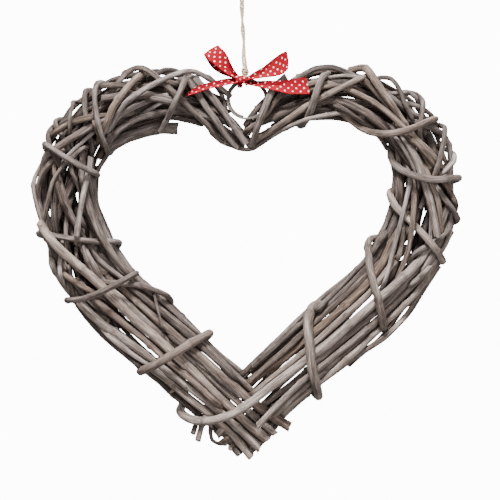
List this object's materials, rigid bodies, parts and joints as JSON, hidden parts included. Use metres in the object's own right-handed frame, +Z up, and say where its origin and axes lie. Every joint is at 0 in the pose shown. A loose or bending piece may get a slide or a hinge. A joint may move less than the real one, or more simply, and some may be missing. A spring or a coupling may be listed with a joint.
{
  "type": "hanging wreath",
  "caption": "Open heart-shaped wreath of bent willow rods bound with short slanting turns, with a small twig ring, a twine hanging loop and a ribbon bow in its dip.",
  "frame": {"origin": "inside top of the jute hanging loop, where the hook's top would bear", "axes": "+X to the right across the heart, -Y towards the viewer, +Z up; the wreath hangs straight down from the origin"},
  "size_m": [0.3408, 0.0628, 0.3787],
  "materials": {
    "willow": "dry grey-washed willow bark, matte",
    "jute": "twisted jute twine, matte and slightly hairy",
    "ribbon": "red woven ribbon with small white dots"
  },
  "bodies": {
    "root": {"back_rod_left_01": "willow", "back_rod_left_02": "willow", "back_rod_right_01": "willow", "back_rod_right_02": "willow", "binding_rod_left_01": "willow", "binding_rod_left_02": "willow", "binding_rod_left_03": "willow", "binding_rod_left_04": "willow", "binding_rod_left_05": "willow", "binding_rod_right_01": "willow", "binding_rod_right_02": "willow", "binding_rod_right_03": "willow", "binding_rod_right_04": "willow", "binding_rod_right_05": "willow", "dip_rod_left_01": "willow", "dip_rod_left_02": "willow", "dip_rod_right_01": "willow", "hanging_ring": "willow", "jute_loop": "jute", "lobe_rod_left_01": "willow", "lobe_rod_left_02": "willow", "lobe_rod_left_03": "willow", "lobe_rod_left_04": "willow", "lobe_rod_left_05": "willow", "lobe_rod_left_06": "willow", "lobe_rod_right_01": "willow", "lobe_rod_right_02": "willow", "lobe_rod_right_03": "willow", "lobe_rod_right_04": "willow", "lobe_rod_right_05": "willow", "long_rod_left_01": "willow", "long_rod_left_02": "willow", "long_rod_left_03": "willow", "long_rod_left_04": "willow", "long_rod_left_06": "willow", "long_rod_left_07": "willow", "long_rod_left_08": "willow", "long_rod_right_01": "willow", "long_rod_right_02": "willow", "long_rod_right_03": "willow", "long_rod_right_04": "willow", "long_rod_right_05": "willow", "long_rod_right_06": "willow", "long_rod_right_07": "willow", "long_rod_right_08": "willow", "ribbon_bow": "ribbon", "side_rod_left_01": "willow", "side_rod_left_02": "willow", "side_rod_left_03": "willow", "side_rod_left_04": "willow", "side_rod_right_01": "willow", "side_rod_right_03": "willow", "side_rod_right_04": "willow", "wrapping_rod_left_01": "willow", "wrapping_rod_left_02": "willow", "wrapping_rod_left_03": "willow", "wrapping_rod_left_05": "willow", "wrapping_rod_right_01": "willow", "wrapping_rod_right_03": "willow", "wrapping_rod_right_04": "willow"}
  },
  "joints": []
}
